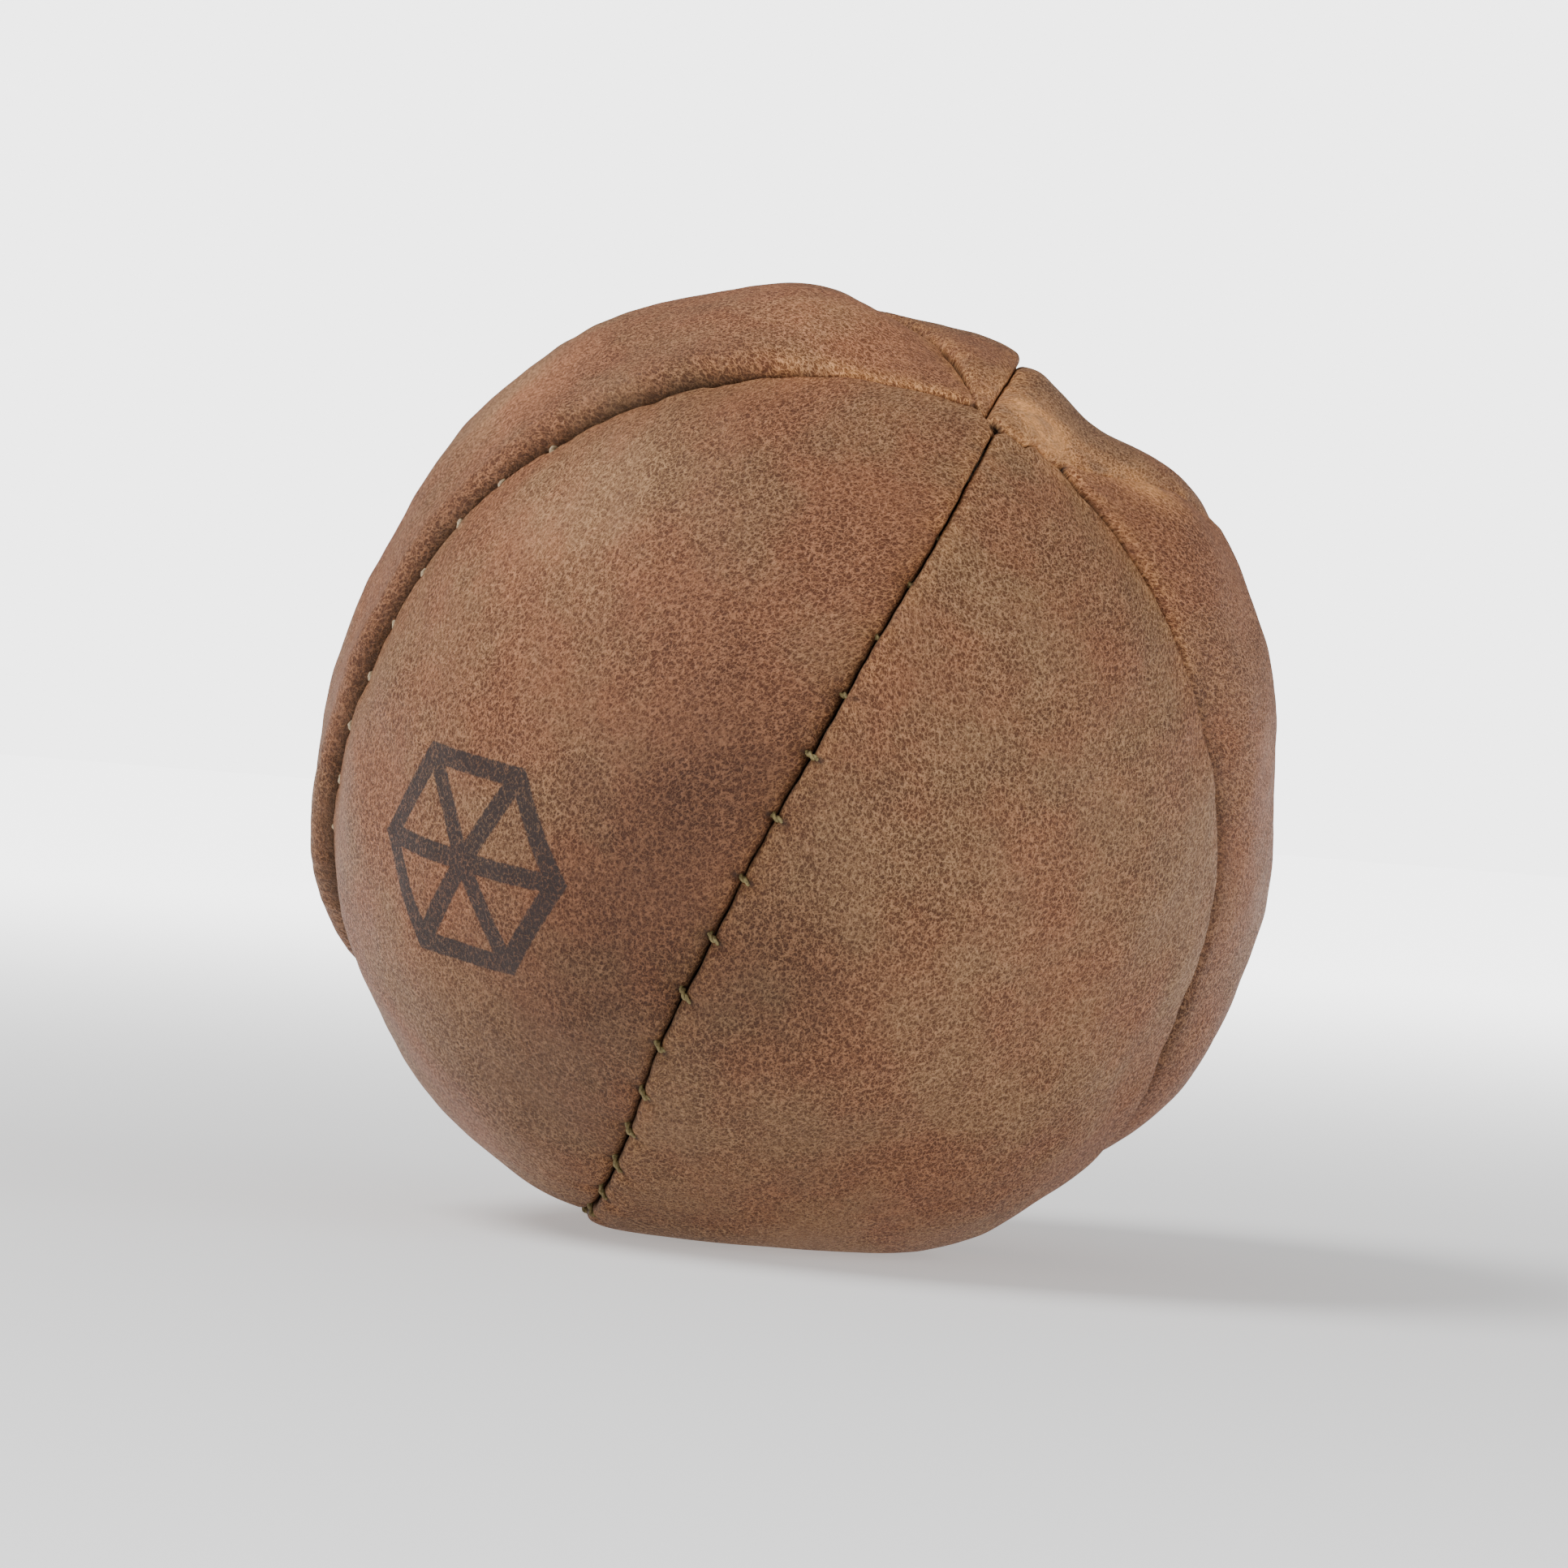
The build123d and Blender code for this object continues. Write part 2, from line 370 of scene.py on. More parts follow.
def grid_columns(width, roll_before, roll_after):
    """Each column's distance from the first edge, its drop on a rolled edge, and its extra way round.

    The way round the roll is longer than it looks from above, and the grain follows it.
    """
    turn = np.radians(np.linspace(0, 90, ROLL_STEPS + 1))
    start = roll_before[:, None] * (1 - np.cos(turn))
    start_drop = roll_before[:, None] * (1 - np.sin(turn))
    end = width[:, None] - roll_after[:, None] * (1 - np.cos(turn[::-1]))
    end_drop = roll_after[:, None] * (1 - np.sin(turn[::-1]))
    share = np.linspace(0, 1, MIDDLE_COLUMNS + 2)[1:-1]
    share = share - EDGE_CROWDING * np.sin(2 * math.pi * share) / (2 * math.pi)
    middle = start[:, -1:] + (end[:, :1] - start[:, -1:]) * share
    flat = np.zeros_like(middle)
    start_wrap = roll_before[:, None] * (turn - math.pi / 2 + np.cos(turn))
    end_wrap = -roll_after[:, None] * (turn - math.pi / 2 + np.cos(turn))[::-1]
    return (
        np.hstack([start, middle, end]),
        np.hstack([start_drop, flat, end_drop]),
        np.hstack([start_wrap, flat, end_wrap]),
    )


def panel_rows(index):
    """A panel's rows of latitude, from the point where its seams part to the lower pole."""
    fine = np.linspace(89.4, -89.2, 4000)
    first, second = seam_pair(index, fine)
    width = np.radians(second - first) * BALL_RADIUS * np.cos(np.radians(fine))
    wide = fine[width > NARROWEST_PANEL]
    top, bottom = wide[0], wide[-1]
    count = int(math.radians(top - bottom) * BALL_RADIUS / ROW_PITCH)
    count += -count % INNER_STRIDE
    return np.linspace(top, bottom, count + 1)


def leather_grid(index):
    """Points of the panel's face, with the facts that its material needs."""
    latitude = panel_rows(index)
    first, second = seam_pair(index, latitude)
    girth = BALL_RADIUS * np.cos(np.radians(latitude))
    after = (index + 1) % PANEL_COUNT
    open_first, open_second = openness(index, latitude), openness(after, latitude)
    gap_first, gap_second = half_gap(index, latitude), half_gap(after, latitude)
    width = np.radians(second - first) * girth - gap_first - gap_second
    width = np.maximum(width, 0.12)
    roll_first = SHUT_ROLL + open_first * (SEAMS[index].after.roll - SHUT_ROLL)
    roll_second = SHUT_ROLL + open_second * (SEAMS[after].before.roll - SHUT_ROLL)
    roll_first = np.minimum(roll_first, MOST_ROLL * width)
    roll_second = np.minimum(roll_second, MOST_ROLL * width)
    across, drop, wrap = grid_columns(width, roll_first, roll_second)
    longitude = first[:, None] + np.degrees((across + gap_first[:, None]) / girth[:, None])
    latitudes = np.repeat(latitude[:, None], across.shape[1], axis=1)

    towards = directions(longitude, latitudes).reshape(-1, 3)
    radius = filled_radius(towards, panel_seed(index)).reshape(across.shape)
    from_first, from_second = across, width[:, None] - across
    nearest = np.minimum(from_first, from_second)
    half = width[:, None] / 2
    sunk = drop / np.where(across < half, roll_first[:, None], roll_second[:, None])
    opened_here = np.where(across < half, open_first[:, None], open_second[:, None])
    shadow = SHUT_SHADOW + (1 - SHUT_SHADOW) * opened_here
    valley = VALLEY_DEPTH * np.minimum(1, half / VALLEY_HALF_WIDTH)
    radius -= valley * (1 - nearest / half) ** VALLEY_POWER
    sides = (
        (index, SEAMS[index].after, open_first, from_first),
        (after, SEAMS[after].before, open_second, from_second),
    )
    rub, hole, shade = np.zeros((3, *radius.shape))
    for seam, side, opened, distance in sides:
        radius += opened[:, None] * side.lift * falling(distance, LIFT_REACH)
        crest = (SEAMS[seam].crest * (1 - opened) * smooth_step(-20, 20, latitude))[:, None]
        radius += crest * falling(distance, CREST_REACH)
        wear = (side.wear_high + opened * (side.wear_low - side.wear_high))[:, None]
        rub = np.maximum(rub, wear * falling(distance, WEAR_REACH))
        # painted shade: darker along an edge where its seam lies open
        shade += side.shade * opened[:, None] * falling(distance, SHADE_REACH)
        at_stitch = (stitch_pull(seam, latitude, 80) * smooth_step(52, 40, latitude))[:, None]
        # painted shade: a dark dot at each stitch hole
        hole = np.maximum(hole, at_stitch * falling(distance - HOLE_FROM_EDGE, HOLE_RADIUS))
        pull = (stitch_pull(seam, latitude, 12) * (SHUT_PULL + (1 - SHUT_PULL) * opened))[:, None]
        for depth, reach in STITCH_DENTS:
            radius -= depth * pull * falling(distance, reach)
    end_distance = np.minimum(latitude[0] - latitude, latitude - latitude[-1])
    end_distance = np.radians(end_distance) * BALL_RADIUS
    near_end = np.clip(1 - end_distance / END_ROLL, 0, 1)
    end_drop = END_ROLL * (1 - np.sqrt(1 - near_end**2))
    drop = np.maximum(drop, end_drop[:, None])
    return {
        "latitude": latitudes,
        "longitude": longitude,
        "radius": radius - drop,
        # the material paints shade by sunk: deeper into a roll or a panel's end is darker, less where
        # the seam is shut
        "sunk": np.maximum(sunk * shadow, end_drop[:, None] / END_ROLL),
        "across": across - half + wrap,
        "along": np.radians(latitudes) * BALL_RADIUS,
        "rub": rub,
        "hole": hole,
        "shade": shade,
    }


def flange_foot(towards):
    """How deep the flanges reach. Round each pole they are trimmed short, clear of the bag's neck."""
    from_pole = BALL_RADIUS * np.sqrt(np.clip(1 - (towards @ POLE) ** 2, 0, 1))
    trimmed = smooth_step(6.5, 4.0, from_pole)
    return CORE_RADIUS + trimmed * (NECK_TOP + 0.2 - CORE_RADIUS)


def ring_of(rows, columns):
    """Grid places round a grid's rim, in order, each as (row, column)."""
    top = [(0, c) for c in range(columns - 1)]
    right = [(r, columns - 1) for r in range(rows - 1)]
    bottom = [(rows - 1, c) for c in range(columns - 1, 0, -1)]
    left = [(r, 0) for r in range(rows - 1, 0, -1)]
    return top + right + bottom + left


def grid_faces(rows, columns, offset):
    r, c = np.meshgrid(np.arange(rows - 1), np.arange(columns - 1), indexing="ij")
    corner = (offset + r * columns + c).ravel()
    return np.stack([corner, corner + columns, corner + columns + 1, corner + 1], axis=1)


def leather_panel(index):
    """A panel as one closed skin: face, rolled edges, flanges, and the flesh side within."""
    grid = leather_grid(index)
    rows, columns = grid["radius"].shape
    towards = directions(grid["longitude"], grid["latitude"])
    outer = towards * grid["radius"][..., None] + CENTRE
    points = [settled(outer.reshape(-1, 3))]
    faces = [list(face) for face in grid_faces(rows, columns, 0)]
    lie = np.stack([grid["across"], grid["along"], np.full((rows, columns), 90.0 * index)], -1)
    facts = {"hide": [lie.reshape(-1, 3)], "emblem": [emblem_place(towards.reshape(-1, 3))]}
    facts |= {name: [grid[name].ravel()] for name in ("sunk", "rub", "hole", "shade")}
    facts |= {name: [amount] for name, amount in tinted(towards.reshape(-1, 3)).items()}
    facts["red"][0] += PANEL_REDNESS[index]
    total = rows * columns

    rim = ring_of(rows, columns)
    rim_rows, rim_columns = np.array(rim).T
    rim_index = rim_rows * columns + rim_columns
    rim_towards = towards[rim_rows, rim_columns]
    rim_points = points[0][rim_index]
    foot = rim_towards * flange_foot(rim_towards)[:, None] + CENTRE
    foot[:, 2] = np.maximum(foot[:, 2], LEATHER)
    previous = rim_index
    for level in (*FLANGE_LEVELS, 1.0):
        points.append(rim_points + (foot - rim_points) * level)
        # painted shade: the flanges' sunk grows with depth, so they are painted darker further down in
        # the gaps
        for name, values in facts.items():
            values.append(values[0][rim_index] + (FLANGE_SHADE * level if name == "sunk" else 0.0))
        ring = total + np.arange(len(rim))
        total += len(rim)
        for k in range(len(rim)):
            after = (k + 1) % len(rim)
            faces.append([previous[k], previous[after], ring[after], ring[k]])
        previous = ring

    inner_rows = (rows - 1) // INNER_STRIDE + 1
    inner_columns = (columns - 1) // INNER_STRIDE + 1
    inner = inner_face(index, inner_rows, inner_columns)
    inner_ring = ring_of(inner_rows, inner_columns)
    ring_rows, ring_columns = np.array(inner_ring).T
    flesh = settled_inside(inner["towards"] * inner["radius"][..., None] + CENTRE)
    flesh_rim = flesh[ring_rows, ring_columns]
    flesh_towards = inner["towards"][ring_rows, ring_columns]
    flesh_foot = flesh_towards * flange_foot(flesh_towards)[:, None] + CENTRE
    flesh_foot[:, 2] = np.maximum(flesh_foot[:, 2], LEATHER)
    start = total
    count = len(inner_ring)
    points.append(flesh_foot)
    points.append((flesh_foot + flesh_rim) / 2)
    points.append(flesh.reshape(-1, 3))
    for k in range(count):
        after = (k + 1) % count
        fine = [previous[(INNER_STRIDE * k + s) % len(rim)] for s in range(INNER_STRIDE + 1)]
        faces.append(fine + [start + after, start + k])
        faces.append([start + k, start + after, start + count + after, start + count + k])
    grid_start = start + 2 * count
    rim_places = grid_start + ring_rows * inner_columns + ring_columns
    for k in range(count):
        after = (k + 1) % count
        faces.append([start + count + k, start + count + after, rim_places[after], rim_places[k]])
    inner_faces = grid_faces(inner_rows, inner_columns, grid_start)
    faces += [list(face[::-1]) for face in inner_faces]
    extra = 2 * count + inner_rows * inner_columns
    piece = mesh_piece(f"leather_gore_{index + 1}", np.concatenate(points), faces)
    for name, values in facts.items():
        unseen = np.zeros((extra,) + values[0].shape[1:])
        add_fact(piece, name, np.concatenate([*values, unseen]))
    return piece


def inner_face(index, rows, columns):
    """The flesh side: the panel's face moved in by the leather's thickness on every side."""
    fine = np.linspace(88, -88, 2000)
    first, second = seam_pair(index, fine)
    width = np.radians(second - first) * BALL_RADIUS * np.cos(np.radians(fine))
    wide = fine[width > NARROWEST_FLESH]
    latitude = np.linspace(wide[0], wide[-1], rows)
    first, second = seam_pair(index, latitude)
    girth = BALL_RADIUS * np.cos(np.radians(latitude))
    inset = np.degrees((LEATHER + FLESH_INSET) / girth)
    share = np.linspace(0, 1, columns)
    longitude = (first + inset)[:, None] + (second - first - 2 * inset)[:, None] * share
    towards = directions(longitude, np.repeat(latitude[:, None], columns, axis=1))
    radius = filled_radius(towards.reshape(-1, 3), panel_seed(index)).reshape(rows, columns)
    half = 0.5 * (np.radians(second - first) * girth)[:, None]
    nearest = half * (1 - np.abs(2 * share - 1))
    valley = VALLEY_DEPTH * np.minimum(1, half / VALLEY_HALF_WIDTH)
    radius -= valley * (1 - nearest / half) ** VALLEY_POWER + LEATHER
    return {"towards": towards, "radius": radius}


def settled_inside(points):
    points[..., 2] = np.maximum(points[..., 2], LEATHER)
    return points


def mesh_piece(name, points, faces):
    """An object from points in millimetres, smooth shaded, with its faces turned outwards."""
    mesh = bpy.data.meshes.new(name)
    mesh.from_pydata((points * MM).tolist(), [], [[int(v) for v in face] for face in faces])
    mesh.update()
    shape = bmesh.new()
    shape.from_mesh(mesh)
    bmesh.ops.recalc_face_normals(shape, faces=shape.faces)
    shape.to_mesh(mesh)
    shape.free()
    mesh.shade_smooth()
    piece = bpy.data.objects.new(name, mesh)
    bpy.context.scene.collection.objects.link(piece)
    return piece


def add_fact(piece, name, values):
    """Stores a number or a vector for each point, for the materials to read."""
    kind, field = ("FLOAT", "value") if values.ndim == 1 else ("FLOAT_VECTOR", "vector")
    attribute = piece.data.attributes.new(name, kind, "POINT")
    attribute.data.foreach_set(field, np.ascontiguousarray(values, dtype=np.float32).ravel())


# ----------------------------------------------------------
# Colour over the ball
# ----------------------------------------------------------
# Patches of lighter or darker, redder or more olive, and coarser or smoother leather, placed as SWELLS
# are: clock angle, degrees towards the viewer, spread, lightness, redness, coarseness, wear. Most of
# the lightness is the leather's own tone, but the patches lighter round the top are painted light from
# above, and one is a painted sheen highlight.
TINTS = [
    (40, 23, 5, 0.4, -0.1, -0.5, 1.0),
    (52, 29, 6, 0.45, -0.1, -0.5, 1.0),
    (60, 28, 5, 0.35, -0.1, -0.4, 0.8),
    (32, 28, 8, 0.0, 0.6, 0.1, 0.0),
    (25, 15, 9, 0.1, 0.4, 0.0, 0.0),
    (0, 13, 12, 0.06, 0.4, -0.15, 0.0),
    # painted light: these three lighten the top of the ball, where light falls from above
    (86, 24, 14, 0.54, 0.1, 0.0, 0.0),
    (105, 9, 12, 0.12, 0.1, 0.0, 0.0),
    (127, 14, 10, 0.5, 0.0, -0.1, 0.0),
    (105, 65, 14, -0.08, 0.2, 0.1, 0.0),
    # painted highlight: a lighter, greyer patch standing in for the key light's soft sheen
    (130, 46, 13, 0.33, -0.3, -0.3, 0.0),
    (150, 72, 12, -0.1, 0.0, -0.1, 0.0),
    (175, 85, 10, -0.3, 0.2, 0.0, 0.0),
    (203, 72, 11, -0.32, 0.2, 0.0, 0.0),
    (228, 56, 15, -0.42, 0.2, 0.0, 0.0),
    (233, 33, 15, -0.36, 0.1, -0.2, 0.0),
    (246, 24, 9, 0.06, -0.5, 0.0, 0.0),
    (264, 66, 10, -0.3, -0.3, 0.1, 0.0),
    (272, 44, 12, -0.18, -0.1, 0.0, 0.0),
    (272, 20, 12, 0.12, -0.1, -0.3, 0.0),
]

# How much redder each panel is as a whole, since they are cut from different hides.
PANEL_REDNESS = (-0.1, 0.5, 0.1, 0.1, 0.15, 0.1)


def tinted(towards):
    tone_and_light, red, coarse, worn = np.zeros((4, len(towards)))
    for clock, out, spread, lighter, redder, coarser, more_worn in TINTS:
        angle = np.degrees(np.arccos(np.clip(towards @ from_front(clock, out), -1, 1)))
        share = falling(angle, spread)
        tone_and_light += lighter * share
        red += redder * share
        coarse += coarser * share
        worn += more_worn * share
    return {"tone_and_light": tone_and_light, "red": red, "coarse": coarse, "worn": worn}


EMBLEM_LONGITUDE = 331.0
EMBLEM_LATITUDE = 3.0


def emblem_place(towards):
    """Each point's place, in millimetres, on a flat tangent to the ball at the emblem's middle."""
    middle = directions(np.array([EMBLEM_LONGITUDE]), np.array([EMBLEM_LATITUDE]))[0]
    right = unit(np.cross(POLE, middle))
    up = np.cross(middle, right)
    near = np.where(towards @ middle > 0.5, 1.0, 20.0)[:, None]
    flat = np.stack([towards @ right, towards @ up, np.zeros(len(towards))], axis=1)
    return (flat + (near - 1)) * BALL_RADIUS


# ----------------------------------------------------------
# Materials
# ----------------------------------------------------------
class Graph:
    """A material's nodes. Each call adds one node, fed with numbers or other nodes' outputs."""

    def __init__(self, name):
        self.material = bpy.data.materials.new(name)
        self.material.use_nodes = True
        self.tree = self.material.node_tree
        self.shader = self.tree.nodes["Principled BSDF"]

    def add(self, kind, feeds, output=0, **settings):
        node = self.tree.nodes.new("ShaderNode" + kind)
        for name, value in settings.items():
            setattr(node, name, value)
        for place, value in feeds.items():
            self.feed(node.inputs[place], value)
        return node.outputs[output]

    def feed(self, socket, value):
        if isinstance(value, bpy.types.NodeSocket):
            self.tree.links.new(value, socket)
        else:
            socket.default_value = value

    def fact(self, name, output="Fac"):
        return self.add("Attribute", {}, output, attribute_name=name)

    def math(self, operation, first, second=0.0, clamp=False):
        return self.add("Math", {0: first, 1: second}, operation=operation, use_clamp=clamp)

    def vector(self, operation, first, second, output=0):
        return self.add("VectorMath", {0: first, 1: second}, output, operation=operation)

    def scaled(self, vector, amount):
        return self.add("VectorMath", {0: vector, "Scale": amount}, operation="SCALE")

    def span(self, value, low, high, low_out=0.0, high_out=1.0):
        """value from low to high becomes low_out to high_out, along a smooth step."""
        feeds = {"Value": value, "From Min": low, "From Max": high}
        feeds |= {"To Min": low_out, "To Max": high_out}
        return self.add("MapRange", feeds, interpolation_type="SMOOTHSTEP")

    def mix(self, share, first, second):
        return self.add("Mix", {0: share, 6: first, 7: second}, 2, data_type="RGBA")

    def noise(self, place, scale, detail=3.0, roughness=0.55, output="Fac"):
        feeds = {"Vector": place, "Scale": scale, "Detail": detail, "Roughness": roughness}
        return self.add("TexNoise", feeds, output)

    def cells(self, place, scale):
        """How far each place is from the edge of its cell."""
        feeds = {"Vector": place, "Scale": scale}
        return self.add("TexVoronoi", feeds, feature="DISTANCE_TO_EDGE")

    def warped(self, place, scale, amount):
        """place, moved about by up to half of amount."""
        drift = self.vector("SUBTRACT", self.noise(place, scale, 2.0, output="Color"), (0.5, 0.5, 0.5))
        return self.vector("ADD", place, self.scaled(drift, amount))

    def bump(self, height, metres):
        normal = self.add("Bump", {"Height": height, "Distance": metres, "Strength": 1.0})
        self.feed(self.shader.inputs["Normal"], normal)


RED_BROWN = (0.228, 0.096, 0.044, 1)
OLIVE_TAN = (0.218, 0.118, 0.056, 1)
DARK_BROWN = (0.13, 0.058, 0.03, 1)
WORN_TAN = (0.4, 0.19, 0.07, 1)
PIT_TINT = (0.5, 0.36, 0.27)
RIDGE_TINT = (2.3, 2.4, 2.5)
NAP_AND_GROOVE_SHADE = (0.055, 0.034, 0.018, 1)
GAP_AND_HOLE_SHADE = (0.04, 0.02, 0.012, 1)
INK = (0.035, 0.022, 0.02, 1)
OLIVE_THREAD = ((0.1, 0.075, 0.025, 1), (0.32, 0.25, 0.1, 1))
TAN_THREAD = ((0.3, 0.21, 0.12, 1), (0.62, 0.48, 0.3, 1))
WHITE_CORD = ((0.4, 0.37, 0.3, 1), (0.75, 0.72, 0.65, 1))
SOILED_COTTON = (0.55, 0.5, 0.4, 1)
CLEAN_COTTON = (0.68, 0.64, 0.55, 1)
DARK_GRAIN = (0.42, 0.32, 0.2, 1)
PALE_GRAIN = (0.7, 0.6, 0.45, 1)
PAPER_WHITE = (0.9, 0.9, 0.9, 1)

# The grain is a net of ridges, finer crossing fibres and a fine grit, each with its share of the
# relief. Scales are in cells for each millimetre, and lines are as wide as this share of a cell.
NET_SCALE, NET_LINE, NET_SHARE = 2.3, 0.13, 0.36
FIBRE_SCALE, FIBRE_LINE, FIBRE_SHARE = 3.6, 0.14, 0.3
GRIT_SCALE, GRIT_SHARE = 3.6, 0.34
MIDDLE_RELIEF = 0.41
GRAIN_CONTRAST = 1.8
MIDDLE_TINT = 0.42
GRAIN_DEPTH = 0.00009  # metres
MOST_MOTTLE = 0.3
MOST_WEAR = 0.8
NAP_SHADE = 0.62
WORN_MATTNESS = 0.08


def leather_material(name, printed):
    """Waxed pull-up leather: pits in a net of fine ridges, clouds of colour, and rubbed edges."""
    graph = Graph(name)
    hide = graph.fact("hide", "Vector")
    coarse = graph.fact("coarse")

    drawn = graph.vector("MULTIPLY", hide, (1.15, 0.85, 1.0))
    crumpled = graph.warped(graph.warped(drawn, 1.3, 0.8), 4.5, 0.26)
    net = graph.span(graph.cells(crumpled, NET_SCALE), 0.0, NET_LINE, 1.0, 0.0)
    crossed = graph.cells(graph.warped(drawn, 3.2, 0.5), FIBRE_SCALE)
    fibres = graph.span(crossed, 0.0, FIBRE_LINE, 1.0, 0.0)
    grit = graph.span(graph.noise(hide, GRIT_SCALE, 3.0, 0.7), 0.34, 0.66)
    relief = graph.math("MULTIPLY", net, NET_SHARE)
    relief = graph.math("ADD", relief, graph.math("MULTIPLY", fibres, FIBRE_SHARE))
    relief = graph.math("ADD", relief, graph.math("MULTIPLY", grit, GRIT_SHARE))
    patches = graph.span(graph.noise(hide, 0.16, 3.0), 0.35, 0.65, 0.7, 1.1)
    strength = graph.math("ADD", patches, coarse)

    clouds = graph.span(graph.noise(hide, 0.085, 4.0, 0.6), 0.36, 0.64)
    redness = graph.math("ADD", clouds, graph.fact("red"), clamp=True)
    colour = graph.mix(redness, OLIVE_TAN, RED_BROWN)
    mottle = graph.span(graph.noise(hide, 0.38, 4.0, 0.6), 0.4, 0.75, 0.0, MOST_MOTTLE)
    colour = graph.mix(mottle, colour, DARK_BROWN)
    rubbed = graph.math("MAXIMUM", graph.fact("rub"), graph.fact("worn"))
    rub = graph.math("MULTIPLY", rubbed, graph.span(graph.noise(hide, 0.5, 4.0), 0.3, 0.6))
    colour = graph.mix(graph.math("MULTIPLY", rub, MOST_WEAR), colour, WORN_TAN)

    raised = graph.math("MULTIPLY", graph.math("SUBTRACT", relief, MIDDLE_RELIEF), strength)
    raised = graph.math("MULTIPLY", raised, GRAIN_CONTRAST)
    raised = graph.math("ADD", raised, MIDDLE_TINT, clamp=True)
    pit = graph.vector("MULTIPLY", colour, PIT_TINT)
    ridge = graph.vector("MULTIPLY", colour, RIDGE_TINT)
    colour = graph.mix(raised, pit, ridge)
    # painted light and shade: the tints' lightness, partly painted light, less the painted shade beside
    # open seams
    tone_and_light = graph.math("SUBTRACT", graph.math("ADD", graph.fact("tone_and_light"), 1.0), graph.fact("shade"))
    colour = graph.scaled(colour, tone_and_light)
    if printed:
        ink = graph.math("MULTIPLY", emblem_ink(graph), graph.span(relief, 0.35, 0.85, 0.95, 0.6))
        colour = graph.mix(ink, colour, INK)
    # painted shade: rolled edges darken as they turn down into an open seam, partly the roll's raised
    # nap and partly groove shade
    sunk = graph.fact("sunk")
    colour = graph.mix(graph.span(sunk, 0.1, 0.85, 0.0, NAP_SHADE), colour, NAP_AND_GROOVE_SHADE)
    # painted shade: the flanges down in the gaps, the panel ends and each stitch hole are painted
    # nearly black
    buried = graph.math("MAXIMUM", graph.span(sunk, 0.85, 1.3), graph.fact("hole"))
    colour = graph.mix(buried, colour, GAP_AND_HOLE_SHADE)
    graph.feed(graph.shader.inputs["Base Color"], colour)
    graph.shader.inputs["Specular IOR Level"].default_value = 0.3

    roughness = graph.span(relief, 0.2, 0.8, 0.56, 0.44)
    roughness = graph.math("ADD", roughness, graph.math("MULTIPLY", rub, WORN_MATTNESS))
    graph.feed(graph.shader.inputs["Roughness"], roughness)
    graph.bump(graph.math("MULTIPLY", relief, strength), GRAIN_DEPTH)
    return graph.material


EMBLEM_RADIUS = 8.0
EMBLEM_LINE = 1.3
INK_BLUR = 0.07
HEXAGON_SIDES = (0, 60, 120)


def emblem_ink(graph):
    """The share of ink: a hexagon with its three long diagonals, for the ball's six gores."""
    place = graph.warped(graph.fact("emblem", "Vector"), 2.0, 0.12)
    outside, from_diagonal = 0.0, 100.0
    for angle in HEXAGON_SIDES:
        side, spoke = math.radians(angle), math.radians(angle + 30)
        across = graph.vector("DOT_PRODUCT", place, (math.cos(side), math.sin(side), 0), "Value")
        outside = graph.math("MAXIMUM", outside, graph.math("ABSOLUTE", across))
        beside = graph.vector("DOT_PRODUCT", place, (-math.sin(spoke), math.cos(spoke), 0), "Value")
        from_diagonal = graph.math("MINIMUM", from_diagonal, graph.math("ABSOLUTE", beside))
    flat_radius = EMBLEM_RADIUS * math.cos(math.radians(30))
    within = graph.span(outside, flat_radius - INK_BLUR, flat_radius + INK_BLUR, 1.0, 0.0)
    border = flat_radius - EMBLEM_LINE
    outline = graph.span(outside, border - INK_BLUR, border + INK_BLUR)
    half_line = EMBLEM_LINE / 2
    spokes = graph.span(from_diagonal, half_line - INK_BLUR, half_line + INK_BLUR, 1.0, 0.0)
    return graph.math("MULTIPLY", within, graph.math("MAXIMUM", outline, spokes))


def thread_material(name, dark, light):
    """Waxed two-ply thread, with fine fibres along it."""
    graph = Graph(name)
    place = graph.scaled(graph.add("TexCoord", {}, "Object"), 1 / MM)
    fibres = graph.noise(place, 6.0, 4.0, 0.7)
    graph.feed(graph.shader.inputs["Base Color"], graph.mix(graph.span(fibres, 0.3, 0.7), dark, light))
    graph.feed(graph.shader.inputs["Roughness"], graph.span(fibres, 0.2, 0.8, 0.75, 0.5))
    graph.bump(fibres, 0.00003)
    return graph.material


def cotton_material():
    """Plain woven cotton: two sets of yarns at right angles."""
    graph = Graph("plain_cotton")
    place = graph.scaled(graph.add("TexCoord", {}, "Object"), 1 / MM)
    yarn = {"Vector": place, "Scale": 0.8, "Distortion": 0.6}
    warp = graph.add("TexWave", yarn, 1)
    weft = graph.add("TexWave", yarn, 1, bands_direction="Z")
    weave = graph.math("MAXIMUM", warp, weft)
    soil = graph.noise(place, 0.2, 4.0)
    dyed = graph.mix(graph.span(soil, 0.3, 0.7), SOILED_COTTON, CLEAN_COTTON)
    shaded = graph.scaled(dyed, graph.span(weave, 0.1, 0.9, 0.7, 1.0))
    graph.feed(graph.shader.inputs["Base Color"], shaded)
    graph.feed(graph.shader.inputs["Roughness"], graph.span(weave, 0.0, 1.0, 0.95, 0.8))
    graph.bump(weave, 0.0001)
    return graph.material


